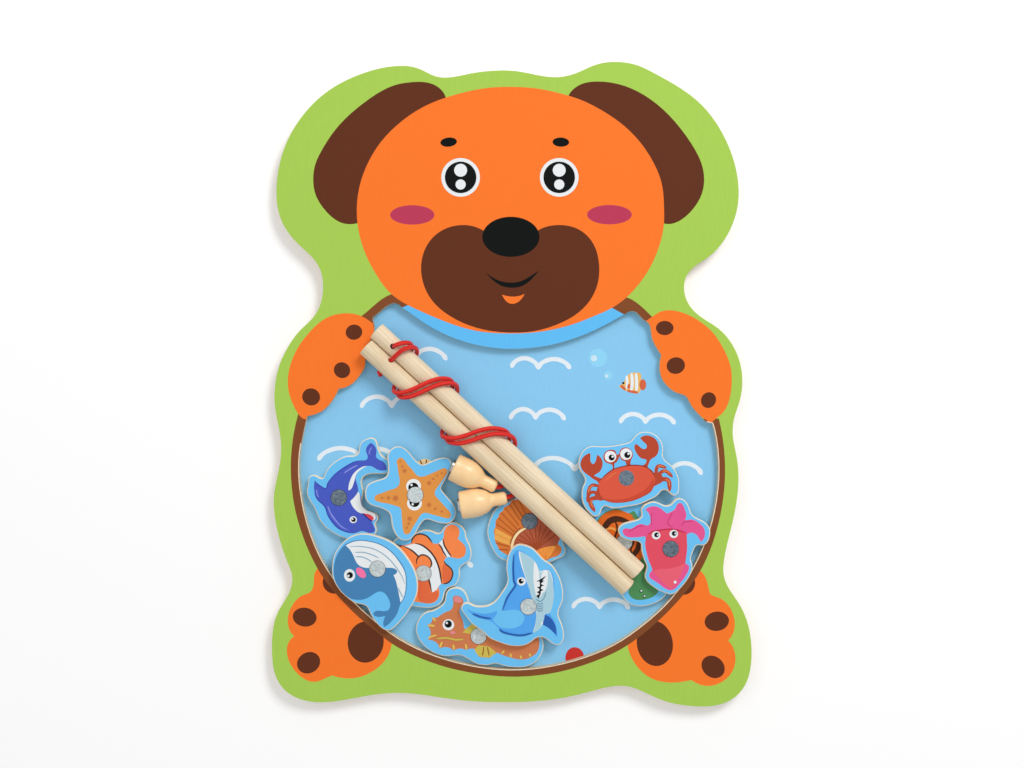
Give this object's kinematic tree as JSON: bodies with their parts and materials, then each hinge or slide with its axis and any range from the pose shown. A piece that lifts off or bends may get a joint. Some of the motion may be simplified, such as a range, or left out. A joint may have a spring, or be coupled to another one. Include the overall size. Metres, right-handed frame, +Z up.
{
  "type": "magnetic fishing game",
  "caption": "Flat wooden bear-shaped board with a sunken pond that holds printed sea-animal tiles with steel discs, and dowel rods whose cords end in magnets.",
  "frame": {"origin": "centre of the board's bounding box, on its underside", "axes": "+Z up out of the board's printed face; +Y along the board toward the bear's head; +X to the right seen from above"},
  "size_m": [0.2082, 0.2798, 0.0182],
  "materials": {
    "bare_wood": "sanded, uncoated",
    "grass_ink": "printed, satin",
    "water_ink": "printed, satin",
    "fur_ink": "printed, satin",
    "dark_fur_ink": "printed, satin",
    "rim_ink": "printed, satin",
    "black_ink": "printed, satin",
    "white_ink": "printed, satin",
    "cheek_ink": "printed, satin",
    "band_ink": "printed, satin",
    "red_ink": "printed, satin",
    "yellow_ink": "printed, satin",
    "dolphin_ink": "printed, satin",
    "starfish_ink": "printed, satin",
    "whale_ink": "printed, satin",
    "clownfish_ink": "printed, satin",
    "seahorse_ink": "printed, satin",
    "shark_ink": "printed, satin",
    "scallop_ink": "printed, satin",
    "crab_ink": "printed, satin",
    "squid_ink": "printed, satin",
    "turtle_ink": "printed, satin",
    "zinc_steel": "zinc plated, dull",
    "magnet": "plated",
    "red_cord": "braided",
    "holder_plastic": "smooth, softly glossy"
  },
  "bodies": {
    "root": {"back_board": "bare_wood", "frame_board": "bare_wood", "frame_print_green": "grass_ink", "frame_print_orange": "fur_ink", "frame_print_brown": "dark_fur_ink", "frame_print_rim": "rim_ink", "frame_print_band": "band_ink", "frame_print_cheek": "cheek_ink", "frame_print_black": "black_ink", "frame_print_white": "white_ink", "pond_print_water": "water_ink", "pond_print_foam": "white_ink", "pond_print_bubbles": "band_ink", "pond_print_coral": "red_ink", "pond_print_striped_fish": "yellow_ink", "dolphin_tile": "bare_wood", "dolphin_disc": "zinc_steel", "dolphin_figure": "dolphin_ink", "starfish_tile": "bare_wood", "starfish_disc": "zinc_steel", "starfish_figure": "starfish_ink", "whale_tile": "bare_wood", "whale_disc": "zinc_steel", "whale_figure": "whale_ink", "clownfish_tile": "bare_wood", "clownfish_disc": "zinc_steel", "clownfish_figure": "clownfish_ink", "seahorse_tile": "bare_wood", "seahorse_disc": "zinc_steel", "seahorse_figure": "seahorse_ink", "shark_tile": "bare_wood", "shark_disc": "zinc_steel", "shark_figure": "shark_ink", "scallop_tile": "bare_wood", "scallop_disc": "zinc_steel", "scallop_figure": "scallop_ink", "crab_tile": "bare_wood", "crab_disc": "zinc_steel", "crab_figure": "crab_ink", "squid_tile": "bare_wood", "squid_disc": "zinc_steel", "squid_figure": "squid_ink", "turtle_tile": "bare_wood", "turtle_disc": "zinc_steel", "turtle_figure": "turtle_ink", "figure_whites": "white_ink", "figure_pupils": "black_ink", "upper_rod": "bare_wood", "upper_magnet_holder": "holder_plastic", "upper_magnet": "magnet", "upper_cord": "red_cord", "lower_rod": "bare_wood", "lower_magnet_holder": "holder_plastic", "lower_magnet": "magnet", "lower_cord": "red_cord"}
  },
  "joints": []
}
